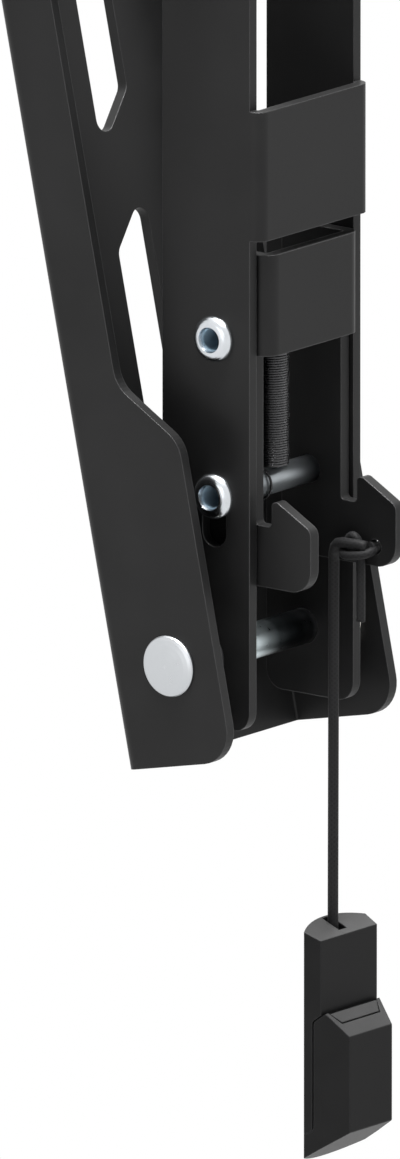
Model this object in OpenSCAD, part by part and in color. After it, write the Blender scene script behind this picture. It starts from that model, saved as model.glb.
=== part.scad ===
// One arm of a tilting television wall mount.
// The wall arm hangs on a rail by its two top hooks and is locked by a sprung latch at the bottom.
// The TV arm swings about a rivet near the bottom and is guided by a bolt in a curved slot higher up.
// A cord with a grip pulls the latch down to free the arm from the rail.
// Shapes are drawn from the wall arm's front edge (Y) and the tilt pivot (Z), then moved to the hook seat.

/* [Wall arm] */
// Width over the two flanges
arm_w = 40; // [36:0.5:50]
// Sheet thickness
arm_t = 2.5; // [2:0.1:3]
// Depth from the front edges to the wall side of the straps
arm_depth = 27.4; // [26:0.1:34]
// Inner bend radius
arm_bend = 0.4; // [0.2:0.1:1]
// Length below the tilt pivot
arm_below = 15.4; // [12:0.2:20]
// Length above the hook seat
arm_above = 26; // [18:1:40]
// Corner radius of the flanges
arm_corner = 4.5; // [2:0.5:6]
// Distance of the tilt pivot from the front edge
pivot_y = 10.3; // [9:0.1:13]
// Bottom edge of the lower strap
strap_low_z = 96.7; // [95:0.1:110]
// Bottom edge of the upper strap
strap_high_z = 182; // [178:1:188]
// Height of each strap
strap_h = 29.4; // [20:0.2:32]

/* [Hook] */
// Height of the hook seat above the tilt pivot
hook_z = 236; // [230:1:260]
// Width of the notch that takes the rail lip
hook_gap = 5; // [4.4:0.1:7]
// Depth of the notch
hook_drop = 11; // [6:0.5:13]
// Width of the nose behind the notch
hook_nose = 8; // [6:0.5:12]

/* [TV arm] */
// Width over the two flanges
tv_w = 61.4; // [56:0.2:66]
// Sheet thickness
tv_t = 2.5; // [1.5:0.1:2.7]
// Inner bend radius
tv_bend = 0.5; // [0.2:0.1:1.5]
// Length of the arm
tv_len = 440; // [430:1:480]
// Flange depth along the plain length
tv_lip = 15.6; // [12:0.2:18]
// Flange depth at the pivot ear
ear_d = 30.7; // [28:0.1:34]
// Height of the full-depth ear
ear_h = 72; // [55:1:76]
// Height at which the flare meets the plain flange
ear_top = 86; // [84:1:100]
// Radius of both bends of the flare
ear_flare_r = 8; // [4:0.5:10]
// Bottom corner radius of the ear
ear_corner = 8; // [4:0.5:10]
// Pivot height above the arm's bottom edge
tv_pivot_v = 22.5; // [20:0.5:26]
// Pivot distance from the arm's outer web face
tv_pivot_u = 17.4; // [16.5:0.1:18.5]
// Forward tilt of the arm at rest
tilt = 12.1; // [4:0.1:12.5]

/* [TV arm web] */
// Width of the fixing windows
window_w = 12.4; // [9:0.2:20]
// Height of one fixing window along its near edge
window_h = 67.9; // [40:0.1:70]
// Rise of the slanted window ends from one side to the other
window_rise = 12.7; // [4:0.1:13]
// Corner radius at the pointed side of a window end
window_tip_r = 3.1; // [1:0.1:3.5]
// Corner radius at the blunt side of a window end
window_side_r = 3; // [1:0.1:3.5]
// Bottom of the first window along its near edge
window_v = 44.8; // [40:0.1:55]
// Spacing from window to window
window_pitch = 90; // [88:0.1:92]
// Number of windows
window_n = 4; // [1:1:4]
// Radius of the round screw holes
screw_r = 4.5; // [3.2:0.1:5]
// Distance between the two round screw holes
screw_span = 400; // [395:1:405]
// Height of the lower screw hole
screw_v = 18; // [12:1:24]

/* [Pivot] */
// Rivet shaft radius
pivot_r = 4; // [3:0.1:5]
// Rivet head radius
pivot_head_r = 6.9; // [6:0.1:9]
// Rivet head height
pivot_head_h = 1.5; // [1:0.1:3]
// Outer radius of the spacer bushes
bush_r = 7; // [6.2:0.1:7.5]
// Thickness of the friction washers
friction_t = 1; // [0.5:0.1:2]

/* [Tilt lock] */
// Height of the tilt bolt above the pivot
tilt_bolt_z = 168; // [164:1:170]
// Distance of the tilt bolt from the wall arm's front edge
tilt_bolt_y = 7; // [6.5:0.1:8]
// Bolt radius
bolt_r = 4; // [3:0.1:4.5]
// Width across the flats of the hexagons
hex_af = 13; // [12:0.5:16]
// Height of the bolt head
bolt_head_h = 5.3; // [4:0.1:7]
// Height of the lock nut
nut_h = 8; // [6:0.1:9]
// Outer radius of the outside washers
washer_r = 8; // [7.8:0.1:9.5]
// Thickness of the outside washers
washer_t = 1.6; // [1:0.1:2]
// Sheet left around the curved slot
slot_wall = 5; // [4:0.1:6]

/* [Latch] */
// Side gap between each latch plate and the wall arm's flange
latch_side_gap = 0.7; // [0.4:0.1:2]
// Sheet thickness
latch_t = 2.8; // [2:0.1:3.2]
// Inner bend radius
latch_bend = 0.9; // [0.4:0.1:1.2]
// Height of the block's bottom edge above the pivot
block_z = 70; // [66:0.5:74]
// Height of the block
block_h = 23; // [18:0.5:24]
// Distance of the side plates' front edge from the wall arm's front edge
latch_front = 7; // [4:0.5:8]
// Height of the finger's bottom edge above the pivot
finger_z = 17.7; // [16:0.1:19]
// Height of the notch bottom above the pivot
notch_z = 31.6; // [30:0.1:33]
// Width of the notch that takes the rail's lower lip
notch_w = 4.5; // [4.2:0.1:5]
// Height of the finger's tip above the notch bottom
finger_tip = 5.8; // [3:0.1:6.5]
// Reach of the finger past the notch
finger_reach = 11; // [9:0.1:13]
// Travel of the latch
travel = 8; // [6.6:0.1:9]

/* [Guide rivets and spring] */
// Distance of both rivets from the wall arm's front edge
guide_y = 14.6; // [13.5:0.1:15.5]
// Height of the upper rivet
guide_high_z = 73.2; // [72:0.1:75]
// Height of the lower rivet
guide_low_z = 37.3; // [36:0.1:39]
// Outer radius of the rivet tube
tube_r = 3.1; // [2.6:0.05:3.2]
// Wall of the rivet tube
tube_wall = 0.7; // [0.4:0.05:1]
// Radius of the rolled heads
rolled_r = 5.25; // [4.5:0.05:5.5]
// Height of the rolled heads
rolled_h = 2; // [1.2:0.1:2.5]
// Spring wire radius
wire_r = 0.45; // [0.3:0.01:0.46]
// Mean radius of the spring coil
coil_r = 3.85; // [3.2:0.05:4.5]
// Number of coil turns
coil_n = 28; // [20:1:28]

/* [Cord and grip] */
// Cord radius
cord_r = 1.2; // [0.8:0.05:1.3]
// Radius of the cord hole in the finger
cord_hole_r = 1.75; // [1.7:0.05:2.2]
// Width of the grip where it is widest
grip_w = 22.2; // [20:0.2:26]
// Width that the body narrows by towards its flat front
grip_taper = 1.9; // [0:0.1:3]
// Depth of the curved back, behind the widest line
grip_back = 2.9; // [2:0.1:5]
// Depth of the flat sides of the body
grip_side = 4.05; // [3.6:0.05:6]
// Depth that the cover stands forward of the body
cover_out = 6.2; // [4:0.1:8]
// Width of the cord slot in the grip's top
cord_slot_w = 2.8; // [2.7:0.1:3.4]
// Length of the cord slot in the grip's top
cord_slot_l = 4.8; // [3.6:0.1:5]
// Width that each side of the cover narrows by towards its front
cover_taper = 2.5; // [1:0.1:3]
// Distance that the cover's top ridge stands forward of the body
ridge_out = 1; // [0.4:0.1:2]
// Drop from the ridge to the seam on the sides
seam_drop = 2.2; // [1:0.1:3]
// Rise of the body's slanted top from its front to its back
top_rise = 2.8; // [1:0.1:3.5]
// Top edge of the body above its front face's bottom line
grip_top_z = -66.6; // [-70:0.1:-65]
// Top edge of the cover
cover_top_z = -83.2; // [-86:0.1:-80]
// Height of the sloped cover top
cover_slope_h = 4.9; // [3:0.1:7]
// Bottom of the front face
grip_low_z = -110.1; // [-116:0.1:-106]
// Angle of the sloped bottom
grip_base_angle = 33; // [10:0.1:40]

/* [Fits] */
// Radial clearance of a running shaft
run_fit = 0.05; // [0.02:0.01:0.1]
// Side clearance of a sliding rivet in its slot
slide_fit = 0.2; // [0.1:0.01:0.3]
// Gap between faces that slide on each other
face_play = 0.05; // [0.02:0.01:0.2]
// Gap around the grip's inset clip
clip_gap = 0.3; // [0.1:0.05:0.4]
// Gap that shows as the seam round the cover
seam_gap = 0.3; // [0.1:0.05:0.4]

/* [Hidden] */
$fn = 64;
eps = 0.01;
// Flat part of the wall arm's flanges ends where the bend to a strap starts
arm_edge = arm_depth - arm_t - arm_bend;
arm_top = hook_z + arm_above;
latch_w = arm_w - 2 * arm_t - 2 * latch_side_gap;
seat_y = arm_edge + hook_gap / 2;
// Side gap between the two arms, filled by the bushes
arm_gap = (tv_w - arm_w) / 2 - tv_t;
latch_edge = arm_depth - latch_t - latch_bend;
finger_in = latch_edge + notch_w;
finger_out = finger_in + finger_reach;
finger_top = notch_z + finger_tip;
// The curved slot runs about the pivot and holds the bolt from upright to full tilt
slot_dy = tilt_bolt_y - pivot_y;
slot_radius = sqrt(slot_dy * slot_dy + tilt_bolt_z * tilt_bolt_z);
slot_start = atan2(-slot_dy, tilt_bolt_z);
slot_half = bolt_r + slide_fit + 0.05;
wing_u = tv_pivot_u - slot_radius * sin(slot_start - tilt) + slot_half + slot_wall;
wing_low = tv_pivot_v + slot_radius * cos(slot_start - tilt) - slot_half - slot_wall;
wing_high = tv_pivot_v + slot_radius + slot_half + slot_wall;
// Cord hole and cord line
cord_hole_y = finger_in + 5.1;
cord_hole_z = finger_z + 4.4;
cord_x = -(latch_w / 2 - latch_t - cord_r - 0.1);
cord_y = latch_edge - 0.6;
// The grip hangs with its widest line just behind the cord
grip_y = cord_y + 0.45;
grip_front = grip_y + grip_side;
cover_front = grip_front + cover_out;
grip_rear = grip_y - grip_back;
cover_seam_y = grip_front - 1.8;
cover_seam_z = grip_low_z - 0.9;
back_radius = (grip_w * grip_w / 4 + grip_back * grip_back) / (2 * grip_back);
front_half = grip_w / 2 - grip_taper / 2;
ridge_y = grip_front + ridge_out;
pocket_depth = 5.4;
grip_x = -12;
knot_tail = 17;
clip_t = 1.4;
seam_r = 2;
clip_span = 0.44;
slope_angle = atan2(cover_slope_h, cover_out - ridge_out);
slope_len = norm([cover_slope_h, cover_out - ridge_out]);
// Centre line of the hanging cord, from the finger to the grip
cord_route = [
    [-12.3, 32, 22.2],
    [-12.3, 30, 22.6],
    [-12.3, 27.8, 22.7],
    [-12.3, 26, 22.2],
    [-12.3, 24.5, 21.2],
    [-12.3, 23.6, 19.7],
    [-12.3, 23.2, 18],
    [-12.3, 23.1, 15],
    [-12.2, 23.1, 0],
    [-12.1, 23.1, -30],
    [-12, 23.1, -60],
    [-12, 23.1, -72]
];

// Moves shapes from the pivot's frame to the hook seat's frame
module from_pivot() {
    translate([0, -seat_y, -hook_z]) children();
}

// Moves shapes from the TV arm's own frame to the pivot, tilted forward
module tilted() {
    translate([0, pivot_y, 0])
        rotate([tilt, 0, 0])
            translate([0, -tv_pivot_u, -tv_pivot_v]) children();
}

function unit(v) = v / norm(v);

// Arc points that round the corner b between a and c by radius r
function corner_arc(a, b, c, r) =
    let (
        p = unit(a - b),
        q = unit(c - b),
        half = acos(max(-1, min(1, p * q))) / 2,
        centre = b + unit(p + q) * r / sin(half),
        start = b + p * r / tan(half) - centre,
        stop = b + q * r / tan(half) - centre,
        from = atan2(start[1], start[0]),
        turn = atan2(start[0] * stop[1] - start[1] * stop[0], start * stop),
        steps = max(3, ceil(abs(turn) / 9))
    )
    [for (i = [0:steps]) centre + r * [cos(from + turn * i / steps), sin(from + turn * i / steps)]];

// Outline through corners given as [y, z, radius]
function rounded(corners) =
    let (n = len(corners))
    [for (i = [0:n - 1])
        let (
            a = corners[(i + n - 1) % n],
            b = corners[i],
            c = corners[(i + 1) % n]
        )
        each (b[2] == 0
            ? [[b[0], b[1]]]
            : corner_arc([a[0], a[1]], [b[0], b[1]], [c[0], c[1]], b[2]))];

// Side outline in Y and Z, extruded along X about the middle
module side_plate(corners, width) {
    rotate([90, 0, 90])
        linear_extrude(width, center = true)
            polygon(rounded(corners));
}

// Front outline in X and Z, extruded along Y from 0 to depth
module front_plate(corners, depth) {
    translate([0, depth, 0])
        rotate([90, 0, 0])
            linear_extrude(depth)
                polygon(rounded(corners));
}

// Round bar along X about the middle
module cross_bar(r, length) {
    rotate([0, 90, 0]) cylinder(r = r, h = length, center = true);
}

// Ring along X from x to x + length
module cross_ring(x, length, outer, inner) {
    translate([x, 0, 0])
        rotate([0, 90, 0])
            difference() {
                cylinder(r = outer, h = length);
                translate([0, 0, -1]) cylinder(r = inner, h = length + 2);
            }
}

// Upright slot through X, from height 0 up to rise
module cross_slot(r, rise, length) {
    cross_bar(r, length);
    translate([0, 0, rise]) cross_bar(r, length);
    translate([-length / 2, -r, 0]) cube([length, 2 * r, rise]);
}

// Solid with one bent outline, open toward +Y, web face at Y = 0
module bent_outline(width, depth, r) {
    translate([-width / 2, r]) square([width, depth - r]);
    translate([-width / 2 + r, 0]) square([width - 2 * r, depth]);
    for (side = [-1, 1])
        translate([side * (width / 2 - r), r]) circle(r);
}

// Folded channel along Z with its web's outer face at Y = 0 and its legs toward +Y
module channel(width, depth, t, bend, length) {
    linear_extrude(length)
        difference() {
            bent_outline(width, depth, bend + t);
            translate([0, t]) bent_outline(width - 2 * t, depth, bend);
        }
}

// Folded strap with its outer face at Y = face, between two flanges
module strap(width, t, bend, face, z, h) {
    translate([0, face, z])
        mirror([0, 1, 0])
            channel(width, t + bend + 3, t, bend, h);
}

// Flange outline of the wall arm, with the hook at the top
function arm_side() = [
    [0, -arm_below, arm_corner],
    [arm_edge, -arm_below, arm_corner],
    [arm_edge, hook_z, 1.5],
    [arm_edge + hook_gap, hook_z, 1.5],
    [arm_edge + hook_gap, hook_z - hook_drop, 1],
    [arm_edge + hook_gap + hook_nose, hook_z - hook_drop + 4, 3],
    [arm_edge + hook_gap + hook_nose, arm_top, arm_corner * 2],
    [0, arm_top, arm_corner]
];

module wall_arm() {
    color("#303030")
        from_pivot()
            difference() {
                union() {
                    for (side = [-1, 1])
                        translate([side * (arm_w - arm_t) / 2, 0, 0])
                            side_plate(arm_side(), arm_t);
                    strap(arm_w, arm_t, arm_bend, arm_depth, strap_low_z, strap_h);
                    strap(arm_w, arm_t, arm_bend, arm_depth, strap_high_z, strap_h);
                }
                translate([0, pivot_y, 0])
                    cross_bar(pivot_r + run_fit, arm_w + 2);
                translate([0, tilt_bolt_y, tilt_bolt_z])
                    cross_bar(bolt_r + run_fit, arm_w + 2);
                translate([0, guide_y, guide_high_z])
                    cross_bar(tube_r + run_fit, arm_w + 2);
                translate([0, guide_y, guide_low_z - travel - slide_fit])
                    cross_slot(tube_r + slide_fit, travel + slide_fit, arm_w + 2);
            }
}

// Flange outline of the TV arm: ear at the pivot, plain lip, and a wing round the curved slot
function tv_side() = [
    [0, 0, 0],
    [ear_d, 0, ear_corner],
    [ear_d, ear_h, ear_flare_r],
    [tv_lip, ear_top, ear_flare_r],
    [tv_lip, wing_low, 4],
    [wing_u, wing_low, 8],
    [wing_u, wing_high - 6, 8],
    [tv_lip, wing_high, 4],
    [tv_lip, tv_len, 5],
    [0, tv_len, 0]
];

// One fixing window of the TV arm's web, in X and along the arm
function window_corners(v) = [
    [window_w / 2, v, window_tip_r],
    [window_w / 2, v + window_h, window_side_r],
    [-window_w / 2, v + window_h + window_rise, window_tip_r],
    [-window_w / 2, v + window_rise, window_side_r]
];

// Curved slot through both wings, about the pivot
module tilt_slot(length) {
    translate([0, tv_pivot_u, tv_pivot_v]) {
        rotate([slot_start - tilt, 0, 0])
            translate([0, 0, slot_radius]) cross_bar(slot_half, length);
        rotate([slot_start, 0, 0])
            translate([0, 0, slot_radius]) cross_bar(slot_half, length);
        rotate([slot_start - tilt, 0, 0])
            rotate([0, 90, 0])
                translate([0, 0, -length / 2])
                    rotate([0, 0, 180])
                        rotate_extrude(angle = tilt, $fn = 180)
                            translate([slot_radius - slot_half, 0]) square([2 * slot_half, length]);
    }
}

module tv_arm() {
    color("#343434")
        from_pivot()
            tilted()
                difference() {
                    intersection() {
                        channel(tv_w, wing_u + 1, tv_t, tv_bend, tv_len);
                        side_plate(tv_side(), tv_w + 2);
                    }
                    translate([0, tv_pivot_u, tv_pivot_v])
                        cross_bar(pivot_r + run_fit, tv_w + 2);
                    tilt_slot(tv_w + 2);
                    for (i = [0:window_n - 1])
                        translate([0, -1, 0])
                            front_plate(window_corners(window_v + i * window_pitch), tv_t + 2);
                    for (v = [screw_v, screw_v + screw_span])
                        translate([0, -1, v])
                            rotate([-90, 0, 0]) cylinder(r = screw_r, h = tv_t + 2);
                }
}

// Side plate outline of the latch, with the upward finger
function latch_side() = [
    [latch_front, finger_z, 3],
    [finger_out, finger_z, 5.5],
    [finger_out, notch_z + 0.6, 2.5],
    [finger_in + 1.7, finger_top, 1],
    [finger_in, finger_top, 1],
    [finger_in, notch_z, 1],
    [latch_edge, notch_z, 1],
    [latch_edge, block_z + block_h, 0],
    [latch_front, block_z + block_h, 3]
];

module latch() {
    color("#282828")
        from_pivot()
            difference() {
                union() {
                    for (side = [-1, 1])
                        translate([side * (latch_w - latch_t) / 2, 0, 0])
                            side_plate(latch_side(), latch_t);
                    strap(latch_w, latch_t, latch_bend, arm_depth, block_z, block_h);
                }
                translate([0, guide_y, guide_high_z - slide_fit])
                    cross_slot(tube_r + slide_fit, travel + 2 * slide_fit, latch_w + 2);
                translate([0, guide_y, guide_low_z])
                    cross_bar(tube_r + run_fit, latch_w + 2);
                translate([-(latch_w - latch_t) / 2, cord_hole_y, cord_hole_z])
                    cross_bar(cord_hole_r, latch_t + 2);
            }
}

// Outline of a domed head of radius r and height h that starts at x
function dome(x, r, h) = [for (a = [0:15:90]) [r * cos(a), x + h * sin(a)]];

module pivot_rivet() {
    half = tv_w / 2 + face_play;
    top = dome(half + 0.4, pivot_head_r, pivot_head_h - 0.4);
    right = concat([[pivot_r, half], [pivot_head_r, half]], top);
    left = [for (i = [len(right) - 1:-1:0]) [right[i][0], -right[i][1]]];
    color("#d8dade")
        from_pivot()
            translate([0, pivot_y, 0])
                rotate([0, 90, 0])
                    rotate_extrude()
                        polygon(concat(left, right));
}

// Tubular rivet through the wall arm's flanges, both ends rolled over into domed rings
module tubular_rivet() {
    half = arm_w / 2 + face_play;
    bore = tube_r - tube_wall;
    lip = bore + 0.5;
    ring = [for (a = [0:10:90]) [lip + (rolled_r - lip) * cos(a), half + rolled_h * sin(a)]];
    right = concat([[tube_r, half]], ring, [[bore, half + rolled_h * 0.4]]);
    left = [for (i = [len(right) - 1:-1:0]) [right[i][0], -right[i][1]]];
    color("#d8dade")
        rotate([0, 90, 0])
            rotate_extrude()
                polygon(concat(left, right));
}

module upper_guide_rivet() {
    from_pivot() translate([0, guide_y, guide_high_z]) tubular_rivet();
}

module lower_guide_rivet() {
    from_pivot() translate([0, guide_y, guide_low_z]) tubular_rivet();
}

// Spacer bush beside the wall arm, on the side given by side
module bush(side, length, inner) {
    color("#1c1c1c")
        mirror([side < 0 ? 1 : 0, 0, 0])
            cross_ring(arm_w / 2, length, bush_r, inner);
}

module pivot_bush(side) {
    from_pivot()
        translate([0, pivot_y, 0])
            bush(side, arm_gap - friction_t - face_play, pivot_r + run_fit);
}

module pivot_bush_left() {
    pivot_bush(-1);
}

module pivot_bush_right() {
    pivot_bush(1);
}

// Friction washer between a bush and the TV arm's flange
module pivot_washer(side) {
    color("#e6e6e0")
        from_pivot()
            translate([0, pivot_y, 0])
                mirror([side < 0 ? 1 : 0, 0, 0])
                    cross_ring(arm_w / 2 + arm_gap - friction_t - face_play, friction_t,
                        bush_r + 1, pivot_r + run_fit);
}

module pivot_washer_left() {
    pivot_washer(-1);
}

module pivot_washer_right() {
    pivot_washer(1);
}

module tilt_bush(side) {
    from_pivot()
        translate([0, tilt_bolt_y, tilt_bolt_z])
            bush(side, arm_gap - face_play, bolt_r + run_fit);
}

module tilt_bush_left() {
    tilt_bush(-1);
}

module tilt_bush_right() {
    tilt_bush(1);
}

// Washer outside the TV arm's wing
module tilt_washer(side) {
    color("#c8cace")
        from_pivot()
            translate([0, tilt_bolt_y, tilt_bolt_z])
                mirror([side < 0 ? 1 : 0, 0, 0])
                    cross_ring(tv_w / 2 + face_play, washer_t, washer_r, bolt_r + run_fit);
}

module tilt_washer_left() {
    tilt_washer(-1);
}

module tilt_washer_right() {
    tilt_washer(1);
}

module tilt_bolt() {
    head_x = tv_w / 2 + face_play + washer_t;
    color("#c8cace")
        from_pivot()
            translate([0, tilt_bolt_y, tilt_bolt_z])
                rotate([0, 90, 0]) {
                    translate([0, 0, -head_x - nut_h - 2])
                        cylinder(r = bolt_r, h = 2 * head_x + nut_h + 2 + eps);
                    translate([0, 0, head_x])
                        cylinder(r = hex_af / 2 / cos(30), h = bolt_head_h, $fn = 6);
                }
}

module tilt_lock_nut() {
    head_x = tv_w / 2 + face_play + washer_t;
    collar = 1.6;
    color("#c8cace")
        from_pivot()
            translate([0, tilt_bolt_y, tilt_bolt_z])
                rotate([0, -90, 0])
                    translate([0, 0, head_x])
                        difference() {
                            union() {
                                cylinder(r = hex_af / 2 / cos(30), h = nut_h - collar, $fn = 6);
                                cylinder(r = hex_af / 2 - 0.4, h = nut_h);
                            }
                            translate([0, 0, -1]) cylinder(r = bolt_r + run_fit, h = nut_h + 2);
                        }
}

// Ring of points of a tube about centre c, across the direction d
function ring_points(c, d, r, sides) =
    let (
        up = abs(d[0]) > 0.9 ? [0, 1, 0] : [1, 0, 0],
        p = unit(cross(d, up)),
        q = cross(d, p)
    )
    [for (i = [0:sides - 1]) c + r * (p * cos(360 * i / sides) + q * sin(360 * i / sides))];

// Closed tube swept along a line of points
module tube_along(path, r, sides) {
    n = len(path);
    points = [for (i = [0:n - 1])
        let (d = unit(path[min(i + 1, n - 1)] - path[max(i - 1, 0)]))
        each ring_points(path[i], d, r, sides)];
    walls = [for (i = [0:n - 2], j = [0:sides - 1])
        let (k = (j + 1) % sides)
        [i * sides + j, i * sides + k, (i + 1) * sides + k, (i + 1) * sides + j]];
    first = [[for (j = [sides - 1:-1:0]) j]];
    last = [[for (j = [0:sides - 1]) (n - 1) * sides + j]];
    polyhedron(points = points, faces = concat(walls, first, last), convexity = 10);
}

// Line of points with long stretches divided to at most step
function divided(path, step) = concat(
    [for (i = [0:len(path) - 2])
        let (n = ceil(norm(path[i + 1] - path[i]) / step))
        for (j = [0:n - 1]) path[i] + (path[i + 1] - path[i]) * j / n],
    [path[len(path) - 1]]);

// Extension spring: close coils with a full loop at each end round the guide rivets
module latch_spring() {
    loop_r = tube_r + wire_r + 0.1;
    z0 = guide_low_z + loop_r;
    z1 = guide_high_z - loop_r;
    per_turn = 12;
    steps = coil_n * per_turn;
    loop_steps = 14;
    low = [for (i = [loop_steps:-1:1])
        let (a = 90 - i * 24)
        [coil_r, guide_y - loop_r * cos(a), guide_low_z + loop_r * sin(a)]];
    coil = [for (i = [0:steps])
        let (a = 360 * i / per_turn)
        [coil_r * cos(a), guide_y + coil_r * sin(a), z0 + (z1 - z0) * i / steps]];
    high = [for (i = [1:loop_steps])
        let (a = i * 24 - 90)
        [coil_r, guide_y + loop_r * cos(a), guide_high_z + loop_r * sin(a)]];
    color("#242424")
        from_pivot()
            tube_along(concat(low, coil, high), wire_r, 6);
}

module pull_cord() {
    color("#161616")
        from_pivot()
            tube_along(divided(cord_route, 2.5 * 2 * cord_r), cord_r, 8);
}

// Knot that holds the cord in the finger: stem through the hole, stopper outside, turn and tail inside
module cord_knot() {
    turn_r = 1.7;
    stop_r = 2.2;
    strand_r = 1.1;
    inner_x = -latch_w / 2 + latch_t + turn_r + face_play;
    outer_x = -latch_w / 2 - stop_r - face_play;
    tail_x = -(latch_w / 2 - latch_t - strand_r - 0.1);
    color("#161616")
        from_pivot()
            translate([0, cord_hole_y, cord_hole_z]) {
                translate([outer_x, 0, 0])
                    rotate([0, 90, 0]) cylinder(r = strand_r, h = inner_x - outer_x);
                translate([outer_x, 0, 0]) sphere(r = stop_r);
                translate([inner_x, 0, 0]) sphere(r = turn_r);
                translate([inner_x - 0.2, -1, 0.3]) sphere(r = turn_r - 0.2);
                translate([tail_x, -2, -knot_tail]) cylinder(r = strand_r, h = knot_tail - 0.4);
            }
}

// Plan outline of the grip: curved back, sides that narrow to the flat front
module grip_plan() {
    intersection() {
        translate([-grip_w / 2, grip_rear]) square([grip_w, grip_y - grip_rear]);
        translate([0, grip_rear + back_radius]) circle(back_radius, $fn = 96);
    }
    polygon([[-grip_w / 2, grip_y], [grip_w / 2, grip_y], [front_half, grip_front], [-front_half, grip_front]]);
}

// Plan outline of the cover in front of the body
module cover_plan() {
    near = front_half - cover_taper;
    polygon([[-front_half, grip_front - eps], [front_half, grip_front - eps], [near, cover_front], [-near, cover_front]]);
}

module grip_place() {
    from_pivot() translate([grip_x, 0, 0]) children();
}

// Distance that the sloped bottom has dropped at depth y
function base_z(y) = grip_low_z - (cover_front - y) * tan(grip_base_angle);

// Side outline of the space in front of the body that the cover fills, grown by gap
function cover_space(gap) = [
    [cover_seam_y - gap, cover_seam_z - 30, 0],
    [cover_seam_y - gap, cover_top_z - seam_drop + gap, 1.2],
    [ridge_y, cover_top_z + gap, 0],
    [cover_front + 5, cover_top_z + gap, 0],
    [cover_front + 5, cover_seam_z - 30, 0]
];

module grip_body() {
    color("#222222")
        grip_place()
            difference() {
                intersection() {
                    translate([0, 0, cover_seam_z])
                        linear_extrude(grip_top_z - cover_seam_z + top_rise + 2)
                            grip_plan();
                    side_plate([
                        [grip_rear, grip_top_z + top_rise, 0],
                        [grip_rear, cover_seam_z, 0],
                        [cover_seam_y, cover_seam_z, seam_r],
                        [cover_seam_y, cover_top_z - seam_drop, 0],
                        [grip_front, cover_top_z - seam_drop, 0],
                        [grip_front, grip_top_z, 0]
                    ], grip_w + 2);
                }
                side_plate(cover_space(0), grip_w - 3);
                side_plate(cover_space(seam_gap), grip_w + 2);
                translate([-cord_slot_w / 2, cord_y + 0.4 - cord_slot_l / 2, grip_top_z - pocket_depth])
                    cube([cord_slot_w, cord_slot_l, pocket_depth + 4]);
            }
}

// Front cover: sides narrow to the front, sloped top with a recess for the clip, sloped closed bottom
module grip_cover() {
    color("#222222")
        grip_place()
            difference() {
                intersection() {
                    translate([0, 0, base_z(grip_rear) - 1])
                        linear_extrude(cover_top_z - base_z(grip_rear) + 2) {
                            grip_plan();
                            cover_plan();
                        }
                    side_plate([
                        [grip_rear, base_z(grip_rear), 0],
                        [cover_front, grip_low_z, 0.6],
                        [cover_front, cover_top_z - cover_slope_h, 0.6],
                        [ridge_y, cover_top_z, 0],
                        [cover_seam_y + face_play, cover_top_z - seam_drop, 1.2],
                        [cover_seam_y + face_play, cover_seam_z - face_play, seam_r],
                        [grip_rear, cover_seam_z - face_play, 0]
                    ], grip_w + 2);
                }
                clip_prism(clip_gap, clip_t + 1);
            }
}

// Trapezoid on the cover's sloped top, grown by gap at its sides, reaching clip_t under the surface
module clip_prism(gap, height) {
    half = front_half - 1.7;
    long = slope_len * clip_span;
    translate([0, ridge_y, cover_top_z])
        rotate([-slope_angle, 0, 0])
            translate([0, 0, -clip_t])
                linear_extrude(height)
                    polygon([
                        [-half - gap, 0.3 - gap],
                        [half + gap, 0.3 - gap],
                        [half - 1.8 + gap, long + gap],
                        [-half + 1.8 - gap, long + gap]
                    ]);
}

module grip_clip() {
    color("#262626")
        grip_place() clip_prism(0, clip_t);
}

wall_arm();
tv_arm();
latch();
pivot_rivet();
pivot_bush_left();
pivot_bush_right();
pivot_washer_left();
pivot_washer_right();
upper_guide_rivet();
lower_guide_rivet();
latch_spring();
tilt_bolt();
tilt_bush_left();
tilt_bush_right();
tilt_washer_left();
tilt_washer_right();
tilt_lock_nut();
pull_cord();
cord_knot();
grip_body();
grip_cover();
grip_clip();
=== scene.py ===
import math

import bmesh
import bpy
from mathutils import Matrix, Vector


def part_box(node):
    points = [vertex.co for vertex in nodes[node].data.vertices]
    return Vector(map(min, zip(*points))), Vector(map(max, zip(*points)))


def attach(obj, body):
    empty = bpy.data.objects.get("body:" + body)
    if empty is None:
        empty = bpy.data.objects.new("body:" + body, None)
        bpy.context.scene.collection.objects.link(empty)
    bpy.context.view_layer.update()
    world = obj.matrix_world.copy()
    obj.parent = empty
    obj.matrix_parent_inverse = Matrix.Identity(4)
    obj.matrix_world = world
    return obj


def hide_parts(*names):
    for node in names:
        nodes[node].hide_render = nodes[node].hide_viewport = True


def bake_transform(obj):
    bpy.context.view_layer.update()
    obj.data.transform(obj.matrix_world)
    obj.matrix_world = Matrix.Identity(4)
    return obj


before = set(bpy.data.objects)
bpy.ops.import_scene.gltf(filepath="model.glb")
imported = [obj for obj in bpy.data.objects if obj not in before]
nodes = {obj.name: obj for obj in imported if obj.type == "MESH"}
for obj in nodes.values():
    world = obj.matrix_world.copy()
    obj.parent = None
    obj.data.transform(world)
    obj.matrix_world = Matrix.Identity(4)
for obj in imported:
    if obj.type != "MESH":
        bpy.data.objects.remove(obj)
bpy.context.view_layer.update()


# Camera
# The arm is seen from behind and a little above, wall side right and screen side left.
# A 590 mm lens on a small sensor, from twelve metres off, keeps the edges parallel.
SEEN_HEIGHT = 0.25756
AIM = Vector((0.0, -0.03206, -0.22437))
VIEW_AZIMUTH = math.radians(128.0)
VIEW_ELEVATION = math.radians(13.56)
CAMERA_DISTANCE = 12.0
LENS_MM = 590.0
CLIP_END = 40.0

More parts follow.
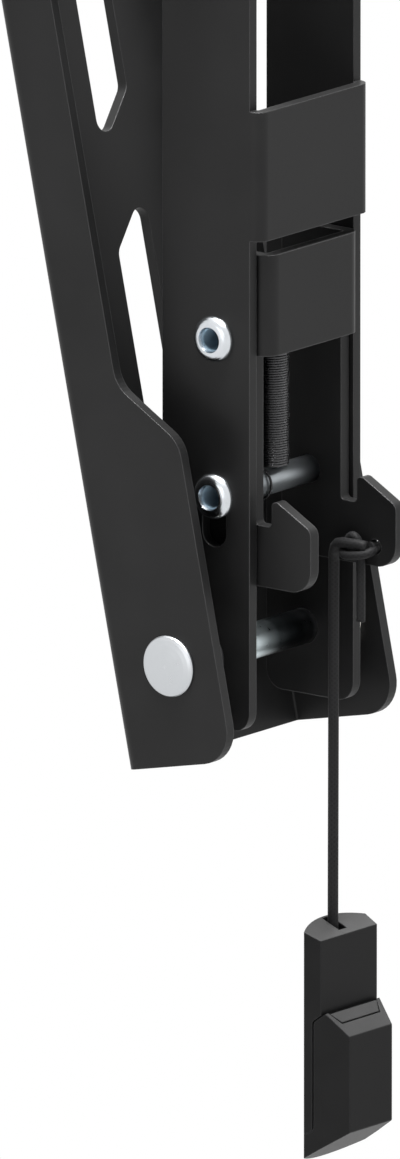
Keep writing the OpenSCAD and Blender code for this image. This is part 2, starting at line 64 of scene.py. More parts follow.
look = Vector((
    -math.sin(VIEW_AZIMUTH) * math.cos(VIEW_ELEVATION),
    math.cos(VIEW_AZIMUTH) * math.cos(VIEW_ELEVATION),
    -math.sin(VIEW_ELEVATION),
))
camera_data = bpy.data.cameras.new("camera")
camera_data.lens = LENS_MM
camera_data.sensor_fit = "VERTICAL"
camera_data.sensor_height = LENS_MM * SEEN_HEIGHT / CAMERA_DISTANCE
camera_data.clip_end = CLIP_END
camera = bpy.data.objects.new("camera", camera_data)
camera.location = AIM - look * CAMERA_DISTANCE
camera.rotation_euler = look.to_track_quat("-Z", "Y").to_euler()
bpy.context.scene.collection.objects.link(camera)
bpy.context.scene.camera = camera


# Pull cord
# A braided black nylon cord, 2.4 mm thick, from the latch finger's hole to the grip.
# It turns down just inside the far finger and hangs straight under the grip's weight.
HOOK_SEAT = Vector((0.0, 27.0, 236.0))
CORD_RADIUS = 0.0012
CORD_SPACING = 0.0012
CORD_SIDES = 24
PLAIT_TURNS = 6.0
PLAIT_PITCH = 0.0011
CORD_ROUTE = [
    (-12.4, 32.2, 22.3),
    (-11.8, 30.2, 22.6),
    (-11.5, 28.0, 22.6),
    (-11.6, 26.0, 22.5),
    (-11.9, 24.5, 22.1),
    (-12.1, 23.6, 21.2),
    (-12.2, 23.2, 19.8),
    (-12.3, 23.1, 17.5),
    (-12.2, 23.1, 0),
    (-12.1, 23.1, -30),
    (-12, 23.1, -60),
    (-12, 23.1, -72),
]


def in_row(points):
    """Points in millimetres from the tilt pivot's level, moved to the hook seat, in metres."""
    return [(Vector(p) - HOOK_SEAT) * 0.001 for p in points]


def smooth_line(points, spacing):
    """A Catmull-Rom line through the points, with a point about every spacing."""
    ends = [points[0] * 2 - points[1], *points, points[-1] * 2 - points[-2]]
    line = []
    for a, b, c, d in zip(ends, ends[1:], ends[2:], ends[3:]):
        steps = max(1, round((c - b).length / spacing))
        for i in range(steps):
            t = i / steps
            line.append(0.5 * (
                2 * b + (c - a) * t
                + (2 * a - 5 * b + 4 * c - d) * t ** 2
                + (3 * b - a - 3 * c + d) * t ** 3
            ))
    return [*line, points[-1]]


def tube(name, line, radius, sides):
    """A closed round tube along a line, with V along it in metres and U once round it."""
    mesh = bmesh.new()
    uv = mesh.loops.layers.uv.new("along")
    side = Vector((1, 0, 0))
    rings = []
    travelled = [0.0]
    for i, point in enumerate(line):
        ahead = (line[min(i + 1, len(line) - 1)] - line[max(i - 1, 0)]).normalized()
        side = (side - ahead * side.dot(ahead)).normalized()
        up = ahead.cross(side)
        rings.append([
            mesh.verts.new(point + radius * (
                side * math.cos(math.tau * k / sides) + up * math.sin(math.tau * k / sides)
            ))
            for k in range(sides)
        ])
        if i:
            travelled.append(travelled[-1] + (point - line[i - 1]).length)
    for i in range(len(rings) - 1):
        for k in range(sides):
            n = (k + 1) % sides
            face = mesh.faces.new((rings[i][k], rings[i][n], rings[i + 1][n], rings[i + 1][k]))
            face.smooth = True
            corners = ((k, i), (k + 1, i), (k + 1, i + 1), (k, i + 1))
            for loop, (u, v) in zip(face.loops, corners):
                loop[uv].uv = (u / sides, travelled[v])
    mesh.faces.new(list(reversed(rings[0])))
    mesh.faces.new(rings[-1])
    data = bpy.data.meshes.new(name)
    mesh.to_mesh(data)
    mesh.free()
    piece = bpy.data.objects.new(name, data)
    bpy.context.scene.collection.objects.link(piece)
    return piece


def new_material(name, colour, roughness, metallic=0.0):
    """A new material, its node tree and its principled shader with these values set."""
    material = bpy.data.materials.new(name)
    material.use_nodes = True
    tree = material.node_tree
    shader = tree.nodes["Principled BSDF"]
    shader.inputs["Base Color"].default_value = (*colour, 1)
    shader.inputs["Roughness"].default_value = roughness
    shader.inputs["Metallic"].default_value = metallic
    return material, tree, shader


def add_node(tree, kind, inputs=None, **settings):
    """A node of that kind, with its settings, its values set and its sockets linked."""
    node = tree.nodes.new(kind)
    for key, value in settings.items():
        setattr(node, key, value)
    for key, value in (inputs or {}).items():
        if isinstance(value, bpy.types.NodeSocket):
            tree.links.new(value, node.inputs[key])
        else:
            node.inputs[key].default_value = value
    return node


def cord_braid():
    """Fine diagonal plaits that cross round the cord, dull black with a soft sheen."""
    material, tree, shader = new_material("cord_braid", (0.012, 0.012, 0.013), 0.62)
    shader.inputs["Specular IOR Level"].default_value = 0.1
    shader.inputs["Sheen Weight"].default_value = 0.03
    shader.inputs["Sheen Roughness"].default_value = 0.4
    place = add_node(tree, "ShaderNodeUVMap", uv_map="along")
    parts = add_node(tree, "ShaderNodeSeparateXYZ", {"Vector": place.outputs["UV"]})
    ribs = []
    for turn in (PLAIT_TURNS, -PLAIT_TURNS):
        round_it = add_node(tree, "ShaderNodeMath",
            {0: parts.outputs["X"], 1: turn * math.tau}, operation="MULTIPLY")
        phase = add_node(tree, "ShaderNodeMath",
            {0: parts.outputs["Y"], 1: math.tau / PLAIT_PITCH, 2: round_it.outputs[0]},
            operation="MULTIPLY_ADD")
        ribs.append(add_node(tree, "ShaderNodeMath", {0: phase.outputs[0]}, operation="SINE"))
    plait = add_node(tree, "ShaderNodeMath",
        {0: ribs[0].outputs[0], 1: ribs[1].outputs[0]}, operation="MAXIMUM")
    shade = add_node(tree, "ShaderNodeMapRange",
        {"Value": plait.outputs[0], "From Min": -0.6, "From Max": 1.0})
    tone = add_node(tree, "ShaderNodeMix", {"Factor": shade.outputs[0],
        "A": (0.005, 0.005, 0.005, 1), "B": (0.009, 0.009, 0.0095, 1)}, data_type="RGBA")
    tree.links.new(tone.outputs["Result"], shader.inputs["Base Color"])
    relief = add_node(tree, "ShaderNodeBump", {"Strength": 0.2, "Distance": 0.00004,
        "Height": shade.outputs[0]})
    tree.links.new(relief.outputs["Normal"], shader.inputs["Normal"])
    return material


cord_line = smooth_line(in_row(CORD_ROUTE), CORD_SPACING)
pull_cord = tube("pull_cord_braid", cord_line, CORD_RADIUS, CORD_SIDES)
braid = cord_braid()
pull_cord.data.materials.append(braid)
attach(pull_cord, "latch")
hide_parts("pull_cord")


# Cord hitch and stop knot
# The cord is tied in the finger's hole with a half hitch whose tail hangs beside it.
# The hitch passes under the cord and up behind it, and an end knot is behind the finger.
STRAND_SPACING = 0.0005
STRAND_SIDES = 20
HITCH_RADIUS = 0.00102
KNOT_RADIUS = 0.00108
HITCH_ROUTE = [
    (-15.5, 32.4, 21.4),
    (-13.2, 32.9, 21.1),
    (-11.6, 31.9, 20.6),
    (-10.9, 30.0, 20.2),
    (-10.9, 28.0, 20.0),
    (-11.3, 26.5, 20.1),
    (-12.3, 25.9, 20.9),
    (-12.9, 26.3, 22.3),
    (-12.8, 27.2, 23.7),
    (-12.6, 28.3, 24.2),
    (-12.7, 29.3, 23.4),
    (-12.8, 29.8, 21.8),
    (-12.6, 30.2, 20.0),
    (-12.4, 30.5, 18),
    (-12.3, 30.6, 12),
    (-12.3, 30.6, 5.1),
]
STOP_ROUTE = [
    (-13.2, 32.2, 22.2),
    (-15.3, 32.1, 21.8),
    (-17.6, 32.0, 21.6),
    (-18.8, 31.0, 21.2),
    (-19.2, 30.4, 19.6),
    (-18.6, 31.4, 18.2),
    (-18.2, 32.8, 18.6),
    (-18.4, 33.2, 20.2),
    (-19.0, 32.2, 21.0),
    (-19.4, 31.2, 20.2),
]
hitch_line = smooth_line(in_row(HITCH_ROUTE), STRAND_SPACING)
stop_line = smooth_line(in_row(STOP_ROUTE), STRAND_SPACING)
hitch = tube("cord_hitch", hitch_line, HITCH_RADIUS, STRAND_SIDES)
stop_knot = tube("cord_stop_knot", stop_line, KNOT_RADIUS, STRAND_SIDES)
for strand in (hitch, stop_knot):
    strand.data.materials.append(braid)
    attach(strand, "latch")
    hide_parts("cord_knot")


# Floor and backdrop
# A plain pale floor far under the hanging arm, seen as white by the camera and by metal.
# A big soft lamp above and a faint one at the side light the arm, with a dim white sky.
FLOOR_Z = -0.42
FLOOR_HALF = 6.0
FLOOR_CORNERS = ((-1, -1), (1, -1), (1, 1), (-1, 1))
FLOOR_PAINT = (0.85, 0.85, 0.85)
WHITE = (1.0, 1.0, 1.0, 1)
SKY_STRENGTH = 0.3


def plain_sight(tree):
    """A value that is 1 for camera, mirror and glass rays, and 0 for all the others."""
    path = add_node(tree, "ShaderNodeLightPath")
    seen = add_node(tree, "ShaderNodeMath",
        {0: path.outputs["Is Camera Ray"], 1: path.outputs["Is Glossy Ray"]}, operation="MAXIMUM")
    seen = add_node(tree, "ShaderNodeMath",
        {0: seen.outputs[0], 1: path.outputs["Is Transmission Ray"]}, operation="MAXIMUM")
    return seen.outputs[0]


def white_in_sight(tree, surface, white, output):
    """Shows the white shader in plain sight and the surface to all other rays."""
    both = add_node(tree, "ShaderNodeMixShader",
        {"Fac": plain_sight(tree), 1: surface.outputs[0], 2: white.outputs[0]})
    tree.links.new(both.outputs[0], tree.nodes[output].inputs["Surface"])


floor_mesh = bpy.data.meshes.new("floor")
floor_mesh.from_pydata(
    [(x * FLOOR_HALF, y * FLOOR_HALF, FLOOR_Z) for x, y in FLOOR_CORNERS], [], [(0, 1, 2, 3)])
floor = bpy.data.objects.new("floor", floor_mesh)
bpy.context.scene.collection.objects.link(floor)
floor_paint, floor_tree, floor_shader = new_material("floor_paint", FLOOR_PAINT, 0.8)
floor_white = add_node(floor_tree, "ShaderNodeEmission", {"Color": WHITE, "Strength": 1.0})
white_in_sight(floor_tree, floor_shader, floor_white, "Material Output")
floor_mesh.materials.append(floor_paint)

world = bpy.data.worlds.new("studio")
world.use_nodes = True
soft_sky = world.node_tree.nodes["Background"]
soft_sky.inputs["Color"].default_value = WHITE
soft_sky.inputs["Strength"].default_value = SKY_STRENGTH
white_sky = add_node(world.node_tree, "ShaderNodeBackground", {"Color": WHITE, "Strength": 1.0})
white_in_sight(world.node_tree, soft_sky, white_sky, "World Output")
bpy.context.scene.world = world


def soft_lamp(name, place, size, power):
    """A square lamp panel at that place from the aim, which it faces."""
    data = bpy.data.lights.new(name, "AREA")
    data.size = size
    data.energy = power
    lamp = bpy.data.objects.new(name, data)
    lamp.location = AIM + Vector(place)
    lamp.rotation_euler = (-Vector(place)).to_track_quat("-Z", "Y").to_euler()
    bpy.context.scene.collection.objects.link(lamp)


soft_lamp("top_lamp", place=(0.1, 0.1, 1.6), size=0.9, power=170)
soft_lamp("side_lamp", place=(1.6, 0.1, 0.3), size=1.0, power=2)


# Wall arm
# One piece of 2.5 mm steel folded to a channel, its web cut away but for two straps.
# It is powder coated satin black after folding, and its edges carry a painted highlight.
STEEL_BLACK = (0.0052, 0.0052, 0.0053)
# The level grey is painted light: it makes faces that look up or down paler, as the lamp above
# and the floor's bounce would.
LEVEL_PAINTED_LIGHT = (0.0075, 0.0075, 0.0075)
# The edge grey is a painted highlight along every edge.
EDGE_HIGHLIGHT_GREY = (0.045, 0.045, 0.046)
COAT_ROUGHNESS = 0.42
COAT_SHINE = 0.22
ARM_EDGE = 0.00035


def powder_coat(name, colour, painted_level_tone, edge_highlight_colour, roughness, edge_radius, shine):
    """Satin coat: orange peel, faint clouds, a painted highlight on the edges and painted light
    that makes level faces paler.
    """
    material, tree, shader = new_material(name, colour, roughness)
    shader.inputs["Specular IOR Level"].default_value = shine
    place = add_node(tree, "ShaderNodeTexCoord")
    cloud = add_node(tree, "ShaderNodeTexNoise", {"Vector": place.outputs["Object"],
        "Scale": 45.0, "Detail": 4.0, "Roughness": 0.6})
    peel = add_node(tree, "ShaderNodeTexNoise", {"Vector": place.outputs["Object"],
        "Scale": 1400.0, "Detail": 2.0, "Roughness": 0.5})
    rounded = add_node(tree, "ShaderNodeBevel", {"Radius": edge_radius}, samples=6)
    flat = add_node(tree, "ShaderNodeNewGeometry")
    facing = add_node(tree, "ShaderNodeVectorMath",
        {0: rounded.outputs["Normal"], 1: flat.outputs["True Normal"]}, operation="DOT_PRODUCT")
    edge = add_node(tree, "ShaderNodeMapRange",
        {"Value": facing.outputs["Value"], "From Min": 1.0, "From Max": 0.75,
         "To Min": 0.0, "To Max": 1.0})
    tone = add_node(tree, "ShaderNodeMapRange", {"Value": cloud.outputs["Fac"],
        "From Min": 0.3, "From Max": 0.7, "To Min": 0.8, "To Max": 1.2})
    # Painted light: faces that look up or down are mixed toward the level grey.
    facing_up = add_node(tree, "ShaderNodeSeparateXYZ", {"Vector": flat.outputs["Normal"]})
    upright = add_node(tree, "ShaderNodeMath", {0: facing_up.outputs["Z"]}, operation="ABSOLUTE")
    level = add_node(tree, "ShaderNodeMapRange", {"Value": upright.outputs[0],
        "From Min": 0.4, "From Max": 1.0, "To Min": 0.0, "To Max": 1.0})
    lit_level_mix = add_node(tree, "ShaderNodeMix", {"Factor": level.outputs[0],
        "A": (*colour, 1), "B": (*painted_level_tone, 1)}, data_type="RGBA")
    tinted = add_node(tree, "ShaderNodeVectorMath",
        {0: lit_level_mix.outputs["Result"], "Scale": tone.outputs[0]}, operation="SCALE")
    # Painted highlight: the edges are mixed toward the edge grey.
    edge_highlighted = add_node(tree, "ShaderNodeMix", {"Factor": edge.outputs[0],
        "A": tinted.outputs[0], "B": (*edge_highlight_colour, 1)}, data_type="RGBA")
    tree.links.new(edge_highlighted.outputs["Result"], shader.inputs["Base Color"])
    dull = add_node(tree, "ShaderNodeMapRange", {"Value": cloud.outputs["Fac"],
        "From Min": 0.3, "From Max": 0.7, "To Min": roughness - 0.04, "To Max": roughness + 0.05})
    tree.links.new(dull.outputs[0], shader.inputs["Roughness"])
    relief = add_node(tree, "ShaderNodeBump", {"Strength": 0.16, "Distance": 0.00006,
        "Height": peel.outputs["Fac"], "Normal": rounded.outputs["Normal"]})
    tree.links.new(relief.outputs["Normal"], shader.inputs["Normal"])
    return material


def dress(names, material):
    """Gives the named CAD pieces one material."""
    for name in names:
        slots = nodes[name].data.materials
        slots.clear()
        slots.append(material)


arm_coat = powder_coat(
    "arm_coat", STEEL_BLACK, LEVEL_PAINTED_LIGHT, EDGE_HIGHLIGHT_GREY, COAT_ROUGHNESS, ARM_EDGE, COAT_SHINE)
dress(["wall_arm"], arm_coat)


# Latch
# One piece of 2.8 mm steel folded to a narrower channel that slides inside the wall arm.
# Its two fingers hook up behind the rail's lower lip; it has the same black coat.
LATCH_BLACK = (0.0045, 0.0045, 0.0046)
LATCH_EDGE = 0.0004

latch_coat = powder_coat(
    "latch_coat", LATCH_BLACK, LEVEL_PAINTED_LIGHT, EDGE_HIGHLIGHT_GREY, COAT_ROUGHNESS, LATCH_EDGE, COAT_SHINE)
dress(["latch"], latch_coat)


# Guide rivets
# Two bright zinc tubular rivets, rolled over at both ends, hold the latch in the wall arm.
# The upper one is fixed in the arm and the lower one in the latch.
RIVET_ZINC = (0.70, 0.73, 0.76)
RIVET_ROUGHNESS = 0.2
RIVET_BORE = 0.0024
BORE_EDGE_OUT = 0.00035
BORE_EDGE_IN = 0.00005
SHANK_HALF = 0.020
SHANK_BLUR = 0.0001
BORE_BLUE = (0.16, 0.23, 0.29, 1)
# The shank's tones are painted light: a paler middle and painted shade towards the plates.
LIT_SHANK = (0.40, 0.43, 0.45, 1)
SHADED_SHANK = (0.035, 0.038, 0.042, 1)
LIT_HALF = 0.002
SHADED_HALF = 0.013


def bright_zinc(name, colour, roughness):
    """Bright zinc plate: mirror-like with fine drawn marks and slight haze."""
    material, tree, shader = new_material(name, colour, roughness, 1.0)
    place = add_node(tree, "ShaderNodeTexCoord")
    haze = add_node(tree, "ShaderNodeTexNoise", {"Vector": place.outputs["Object"],
        "Scale": 500.0, "Detail": 3.0})
    dull = add_node(tree, "ShaderNodeMapRange", {"Value": haze.outputs["Fac"],
        "To Min": roughness * 0.7, "To Max": roughness * 1.4})
    tree.links.new(dull.outputs[0], shader.inputs["Roughness"])
    tone = add_node(tree, "ShaderNodeMapRange", {"Value": haze.outputs["Fac"],
        "To Min": 0.9, "To Max": 1.05})
    tinted = add_node(tree, "ShaderNodeVectorMath",
        {0: colour, "Scale": tone.outputs[0]}, operation="SCALE")
    tree.links.new(tinted.outputs[0], shader.inputs["Base Color"])
    relief = add_node(tree, "ShaderNodeBump", {"Strength": 0.08, "Distance": 0.00003,
        "Height": haze.outputs["Fac"]})
    tree.links.new(relief.outputs["Normal"], shader.inputs["Normal"])
    return material


def steel_blue_bore(name, place_of_axis, bore_radius):
    """Bright zinc heads, a shank with a paler middle and painted shade towards the plates, and a
    dim steel-blue bore about an axis along X.
    """
    material = bright_zinc(name, RIVET_ZINC, RIVET_ROUGHNESS)
    tree = material.node_tree
    zinc = tree.nodes["Principled BSDF"]
    place = add_node(tree, "ShaderNodeTexCoord")
    from_axis = add_node(tree, "ShaderNodeVectorMath",
        {0: place.outputs["Object"], 1: (0.0, *place_of_axis)}, operation="SUBTRACT")
    across = add_node(tree, "ShaderNodeVectorMath",
        {0: from_axis.outputs[0], 1: (0.0, 1.0, 1.0)}, operation="MULTIPLY")
    distance = add_node(tree, "ShaderNodeVectorMath", {0: across.outputs[0]}, operation="LENGTH")
    in_bore = add_node(tree, "ShaderNodeMapRange", {"Value": distance.outputs["Value"],
        "From Min": bore_radius + BORE_EDGE_OUT, "From Max": bore_radius + BORE_EDGE_IN})
    spread = add_node(tree, "ShaderNodeSeparateXYZ", {"Vector": place.outputs["Object"]})
    out_from_middle = add_node(tree, "ShaderNodeMath", {0: spread.outputs["X"]},
        operation="ABSOLUTE")
    on_shank = add_node(tree, "ShaderNodeMapRange", {"Value": out_from_middle.outputs[0],
        "From Min": SHANK_HALF + SHANK_BLUR, "From Max": SHANK_HALF - SHANK_BLUR})
    bore = add_node(tree, "ShaderNodeBsdfPrincipled", {"Base Color": BORE_BLUE,
        "Roughness": 0.5, "Metallic": 0.15, "Coat Weight": 0.3})
    painted_light = add_node(tree, "ShaderNodeMapRange", {"Value": out_from_middle.outputs[0],
        "From Min": LIT_HALF, "From Max": SHADED_HALF})
    shank_tone = add_node(tree, "ShaderNodeMix",
        {"Factor": painted_light.outputs[0], "A": LIT_SHANK, "B": SHADED_SHANK}, data_type="RGBA")
    shank = add_node(tree, "ShaderNodeBsdfPrincipled",
        {"Base Color": shank_tone.outputs["Result"], "Roughness": 0.36, "Metallic": 0.95})
    outside = add_node(tree, "ShaderNodeMixShader",
        {"Fac": on_shank.outputs[0], 1: zinc.outputs[0], 2: shank.outputs[0]})
    both = add_node(tree, "ShaderNodeMixShader",
        {"Fac": in_bore.outputs[0], 1: outside.outputs[0], 2: bore.outputs[0]})
    tree.links.new(both.outputs[0], tree.nodes["Material Output"].inputs["Surface"])
    return material


def middle_of(name):
    """The middle of a CAD piece's box."""
    low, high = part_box(name)
    return (Vector(low) + Vector(high)) / 2


upper_axis = middle_of("upper_guide_rivet")
lower_axis = middle_of("lower_guide_rivet")
dress(["upper_guide_rivet"], steel_blue_bore("upper_rivet_zinc", upper_axis.yz, RIVET_BORE))
dress(["lower_guide_rivet"], steel_blue_bore("lower_rivet_zinc", lower_axis.yz, RIVET_BORE))


# Latch spring
# A close-wound extension spring of 0.6 mm black wire between the two guide rivets.
# A full loop at each end goes round its rivet, and it pulls the latch up.
SPRING_COIL_RADIUS = 0.0041
SPRING_WIRE_RADIUS = 0.00029
SPRING_LOOP_RADIUS = 0.0036
SPRING_TURNS = 50
# The wire's side tones are painted light: paler on the lit side of the coil, painted shade on the
# other.
LIT_SIDE = (-0.616, 0.788, 0.0)
SHADED_WIRE = (0.004, 0.004, 0.0045, 1)
LIT_WIRE = (0.105, 0.105, 0.108, 1)


def add_input(tree, name, kind):
    """A new input of a node tree, by the identifier that a modifier sets it with."""
    return tree.interface.new_socket(name, in_out="INPUT", socket_type=kind).identifier


def spring_tree():
    """A coil along Z between two rivets along X, with a full loop round each of them."""
    tree = bpy.data.node_groups.new("wound_spring", "GeometryNodeTree")
    sockets = {name: add_input(tree, name, kind) for name, kind in (
        ("Turns", "NodeSocketFloat"), ("Coil Radius", "NodeSocketFloat"),
        ("Loop Radius", "NodeSocketFloat"), ("Wire Radius", "NodeSocketFloat"),
        ("Low End", "NodeSocketVector"), ("High End", "NodeSocketVector"),
        ("Wire", "NodeSocketMaterial"))}
    tree.interface.new_socket("Spring", in_out="OUTPUT", socket_type="NodeSocketGeometry")
    given = tree.nodes.new("NodeGroupInput").outputs
    span = add_node(tree, "ShaderNodeVectorMath",
        {0: given["High End"], 1: given["Low End"]}, operation="SUBTRACT")
    rise = add_node(tree, "ShaderNodeSeparateXYZ", {"Vector": span.outputs[0]})
    coil_height = add_node(tree, "ShaderNodeMath",
        {0: given["Loop Radius"], 1: -2.0, 2: rise.outputs["Z"]}, operation="MULTIPLY_ADD")
    coil = add_node(tree, "GeometryNodeCurveSpiral", {"Resolution": 28,
        "Rotations": given["Turns"], "Start Radius": given["Coil Radius"],
        "End Radius": given["Coil Radius"], "Height": coil_height.outputs[0]})
    lift = add_node(tree, "ShaderNodeCombineXYZ", {"Z": given["Loop Radius"]})
    foot = add_node(tree, "ShaderNodeVectorMath",
        {0: given["Low End"], 1: lift.outputs[0]}, operation="ADD")
    parts = [add_node(tree, "GeometryNodeSetPosition",
        {"Geometry": coil.outputs[0], "Offset": foot.outputs[0]})]
    for end in ("Low End", "High End"):
        ring = add_node(tree, "GeometryNodeCurvePrimitiveCircle",
            {"Resolution": 40, "Radius": given["Loop Radius"]})
        aside = add_node(tree, "ShaderNodeCombineXYZ", {"X": given["Coil Radius"]})
        centre = add_node(tree, "ShaderNodeVectorMath",
            {0: given[end], 1: aside.outputs[0]}, operation="ADD")
        parts.append(add_node(tree, "GeometryNodeTransform", {"Geometry": ring.outputs[0],
            "Translation": centre.outputs[0], "Rotation": (0.0, math.pi / 2, 0.0)}))
    curves = add_node(tree, "GeometryNodeJoinGeometry")
    for part in parts:
        tree.links.new(part.outputs[0], curves.inputs[0])
    section = add_node(tree, "GeometryNodeCurvePrimitiveCircle",
        {"Resolution": 8, "Radius": given["Wire Radius"]})
    wire = add_node(tree, "GeometryNodeCurveToMesh", {"Curve": curves.outputs[0],
        "Profile Curve": section.outputs[0], "Fill Caps": True})
    real = add_node(tree, "GeometryNodeRealizeInstances", {"Geometry": wire.outputs[0]})
    smooth = add_node(tree, "GeometryNodeSetShadeSmooth", {"Geometry": real.outputs[0]})
    painted = add_node(tree, "GeometryNodeSetMaterial",
        {"Geometry": smooth.outputs[0], "Material": given["Wire"]})
    end = tree.nodes.new("NodeGroupOutput")
    tree.links.new(painted.outputs[0], end.inputs[0])
    return tree, sockets


def grown(name, tree, sockets, values):
    """A piece with the mesh that a node tree makes from the values, and no modifier left."""
    piece = bpy.data.objects.new(name, bpy.data.meshes.new(name))
    bpy.context.scene.collection.objects.link(piece)
    maker = piece.modifiers.new(name, "NODES")
    maker.node_group = tree
    for key, value in values.items():
        maker[sockets[key]] = value
    bpy.context.view_layer.update()
    shape = bpy.data.meshes.new_from_object(
        piece.evaluated_get(bpy.context.evaluated_depsgraph_get()))
    piece.modifiers.remove(maker)
    piece.data = shape
    return piece


def oiled_wire(axis_place, coil_radius):
    """Black oiled wire, duller in patches, paler on one side of the coil as painted light and
    darker on the other as painted shade.
    """
    material, tree, shader = new_material("spring_wire", (0.03, 0.03, 0.032), 0.3, 0.7)
    place = add_node(tree, "ShaderNodeTexCoord")
    patch = add_node(tree, "ShaderNodeTexNoise",
        {"Vector": place.outputs["Object"], "Scale": 900.0, "Detail": 3.0})
    from_axis = add_node(tree, "ShaderNodeVectorMath",
        {0: place.outputs["Object"], 1: tuple(axis_place)}, operation="SUBTRACT")
    across = add_node(tree, "ShaderNodeVectorMath",
        {0: from_axis.outputs["Vector"], 1: LIT_SIDE}, operation="DOT_PRODUCT")
    lit_side_mix = add_node(tree, "ShaderNodeMapRange", {"Value": across.outputs["Value"],
        "From Min": -0.3 * coil_radius, "From Max": 1.05 * coil_radius})
    tone = add_node(tree, "ShaderNodeMix",
        {"Factor": lit_side_mix.outputs[0], "A": SHADED_WIRE, "B": LIT_WIRE}, data_type="RGBA")
    tree.links.new(tone.outputs["Result"], shader.inputs["Base Color"])
    dull = add_node(tree, "ShaderNodeMapRange",
        {"Value": patch.outputs["Fac"], "To Min": 0.16, "To Max": 0.34})
    tree.links.new(dull.outputs[0], shader.inputs["Roughness"])
    return material


spring_nodes, spring_sockets = spring_tree()
low_end = Vector((0, *lower_axis.yz))
high_end = Vector((0, *upper_axis.yz))
spring_wire = oiled_wire((0, lower_axis.y, 0), SPRING_COIL_RADIUS)
latch_spring = grown("latch_spring_wire", spring_nodes, spring_sockets, {
    "Turns": float(SPRING_TURNS), "Coil Radius": SPRING_COIL_RADIUS,
    "Loop Radius": SPRING_LOOP_RADIUS, "Wire Radius": SPRING_WIRE_RADIUS,
    "Low End": tuple(low_end), "High End": tuple(high_end), "Wire": spring_wire})
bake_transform(latch_spring)
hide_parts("latch_spring")


# Pivot
# The TV arm turns on a solid 8 mm rivet, between nylon friction washers and black bushes.
# The rivet's heads are bright; its shank has a painted highlight near the middle and painted
# shade to the sides, so each of its tones has a distance along X, in metres, from the highlight's
# place.
HIGHLIGHT_X = 0.0035
PIVOT_ZINC = (0.62, 0.70, 0.72)
PIVOT_TONES = (
    (0.0, (*PIVOT_ZINC, 1)),
    (0.0012, (*PIVOT_ZINC, 1)),
    (0.0050, (0.12, 0.14, 0.145, 1)),
    (0.0095, (0.022, 0.025, 0.027, 1)),
    (0.0192, (0.022, 0.025, 0.027, 1)),
    (0.0225, (0.60, 0.62, 0.64, 1)),
)


def moulded(name, dark, light, roughness, grain):
    """Moulded plastic with faint flow clouds between two tones and a fine grain."""
    material, tree, shader = new_material(name, dark, roughness)
    place = add_node(tree, "ShaderNodeTexCoord")
    flow = add_node(tree, "ShaderNodeTexNoise",
        {"Vector": place.outputs["Object"], "Scale": 160.0, "Detail": 4.0})
    tone = add_node(tree, "ShaderNodeMix", {"Factor": flow.outputs["Fac"],
        "A": (*dark, 1), "B": (*light, 1)}, data_type="RGBA")
    tree.links.new(tone.outputs["Result"], shader.inputs["Base Color"])
    dull = add_node(tree, "ShaderNodeMapRange", {"Value": flow.outputs["Fac"],
        "To Min": roughness - 0.06, "To Max": roughness + 0.08})
    tree.links.new(dull.outputs[0], shader.inputs["Roughness"])
    fine = add_node(tree, "ShaderNodeTexNoise",
        {"Vector": place.outputs["Object"], "Scale": 2200.0, "Detail": 1.0})
    relief = add_node(tree, "ShaderNodeBump",
        {"Strength": grain, "Distance": 0.00004, "Height": fine.outputs["Fac"]})
    tree.links.new(relief.outputs["Normal"], shader.inputs["Normal"])
    return material


def highlighted_zinc(name, roughness):
    """Bright zinc whose tone changes with the distance along X from a painted highlight, through
    painted shade, back to the bright heads.
    """
    material = bright_zinc(name, PIVOT_ZINC, roughness)
    tree = material.node_tree
    place = add_node(tree, "ShaderNodeTexCoord")
    parts = add_node(tree, "ShaderNodeSeparateXYZ", {"Vector": place.outputs["Object"]})
    aside = add_node(tree, "ShaderNodeMath",
        {0: parts.outputs["X"], 1: HIGHLIGHT_X}, operation="SUBTRACT")
    distance = add_node(tree, "ShaderNodeMath", {0: aside.outputs[0]}, operation="ABSOLUTE")
    painted_light = add_node(tree, "ShaderNodeValToRGB", {"Fac": distance.outputs[0]})
    stops = painted_light.color_ramp.elements
    first, *between, last = PIVOT_TONES
    for stop, (position, colour) in zip(stops, (first, last)):
        stop.position = position
        stop.color = colour
    for position, colour in between:
        stops.new(position).color = colour
    shader = tree.nodes["Principled BSDF"]
    tree.links.new(painted_light.outputs[0], shader.inputs["Base Color"])
    return material


nylon = moulded("washer_nylon", (0.62, 0.61, 0.56), (0.76, 0.75, 0.70), 0.45, 0.05)
bush_black = moulded("bush_black", (0.012, 0.012, 0.013), (0.020, 0.020, 0.021), 0.42, 0.06)
dress(["pivot_rivet"], highlighted_zinc("pivot_zinc", 0.30))
dress(["pivot_washer_left", "pivot_washer_right"], nylon)
dress(["pivot_bush_left", "pivot_bush_right", "tilt_bush_left", "tilt_bush_right"], bush_black)


# TV arm
# One piece of 2.5 mm steel folded to a wide channel, with slanted fixing windows in its web.
# It has the wall arm's coat, with a painted edge highlight over a slightly sharper edge.
TV_EDGE = 0.0003

tv_coat = powder_coat(
    "tv_coat", STEEL_BLACK, LEVEL_PAINTED_LIGHT, EDGE_HIGHLIGHT_GREY, COAT_ROUGHNESS, TV_EDGE, COAT_SHINE)
dress(["tv_arm"], tv_coat)


# Tilt lock
# An 8 mm bolt through the curved slots, with washers and a lock nut outside.
# The CAD shank is plain, so the thread that stands out of the nut is wound on it here.
SHANK_RADIUS = 0.004
THREAD_PITCH = 0.00125
THREAD_LENGTH = 0.0018
THREAD_DEPTH = 0.00022
THREAD_INSET = 0.0001

bolt_zinc = bright_zinc("bolt_zinc", (0.72, 0.73, 0.75), 0.24)
dress(["tilt_bolt", "tilt_washer_left", "tilt_washer_right", "tilt_lock_nut"], bolt_zinc)


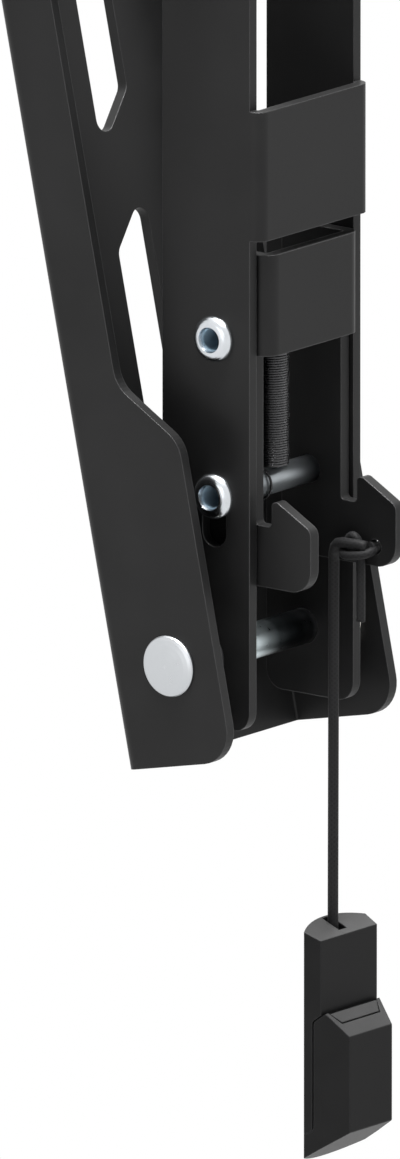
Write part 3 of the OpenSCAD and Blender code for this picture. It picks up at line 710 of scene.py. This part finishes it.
def thread_tree():
    """A screw thread's ridge, wound round a shank along X from its end inwards."""
    tree = bpy.data.node_groups.new("screw_thread", "GeometryNodeTree")
    sockets = {name: add_input(tree, name, kind) for name, kind in (
        ("Shank Radius", "NodeSocketFloat"), ("Pitch", "NodeSocketFloat"),
        ("Length", "NodeSocketFloat"), ("Depth", "NodeSocketFloat"),
        ("Start", "NodeSocketVector"), ("Metal", "NodeSocketMaterial"))}
    tree.interface.new_socket("Thread", in_out="OUTPUT", socket_type="NodeSocketGeometry")
    given = tree.nodes.new("NodeGroupInput").outputs
    turns = add_node(tree, "ShaderNodeMath",
        {0: given["Length"], 1: given["Pitch"]}, operation="DIVIDE")
    winding = add_node(tree, "GeometryNodeCurveSpiral", {"Resolution": 40,
        "Rotations": turns.outputs[0], "Start Radius": given["Shank Radius"],
        "End Radius": given["Shank Radius"], "Height": given["Length"]})
    laid = add_node(tree, "GeometryNodeTransform", {"Geometry": winding.outputs[0],
        "Translation": given["Start"], "Rotation": (0.0, math.pi / 2, 0.0)})
    section = add_node(tree, "GeometryNodeCurvePrimitiveCircle",
        {"Resolution": 6, "Radius": given["Depth"]})
    ridge = add_node(tree, "GeometryNodeCurveToMesh", {"Curve": laid.outputs[0],
        "Profile Curve": section.outputs[0], "Fill Caps": True})
    real = add_node(tree, "GeometryNodeRealizeInstances", {"Geometry": ridge.outputs[0]})
    painted = add_node(tree, "GeometryNodeSetMaterial",
        {"Geometry": real.outputs[0], "Material": given["Metal"]})
    end = tree.nodes.new("NodeGroupOutput")
    tree.links.new(painted.outputs[0], end.inputs[0])
    return tree, sockets


bolt_low = Vector(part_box("tilt_bolt")[0])
bolt_middle = middle_of("tilt_bolt")
thread_nodes, thread_sockets = thread_tree()
bolt_thread = grown("tilt_bolt_thread", thread_nodes, thread_sockets, {
    "Shank Radius": SHANK_RADIUS, "Pitch": THREAD_PITCH, "Length": THREAD_LENGTH,
    "Depth": THREAD_DEPTH, "Metal": bolt_zinc,
    "Start": (bolt_low.x + THREAD_INSET, bolt_middle.y, bolt_middle.z)})
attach(bolt_thread, "wall")


# Grip
# A moulded black plastic grip in two halves, with a small inset clip on the cover's slope.
# Its grain is like the coat's, with level faces painted paler as painted light and a painted edge
# highlight, and the cord ends inside it.
GRIP_BLACK = (0.0043, 0.0043, 0.0044)
# The grip's level grey is painted light for its top and bottom faces.
GRIP_LEVEL_PAINTED_LIGHT = (0.042, 0.042, 0.042)
# The grip's edge grey is a painted highlight along its edges.
GRIP_EDGE_HIGHLIGHT_GREY = (0.014, 0.014, 0.0145)
GRIP_ROUGHNESS = 0.5
GRIP_EDGE = 0.0005
GRIP_SHINE = 0.12

grip_plastic = powder_coat("grip_plastic",
    GRIP_BLACK, GRIP_LEVEL_PAINTED_LIGHT, GRIP_EDGE_HIGHLIGHT_GREY, GRIP_ROUGHNESS, GRIP_EDGE, GRIP_SHINE)
dress(["grip_body", "grip_cover", "grip_clip"], grip_plastic)


# Close The view transform is the plain one, so that tones come out as they are set.
bpy.context.scene.view_settings.view_transform = "Standard"
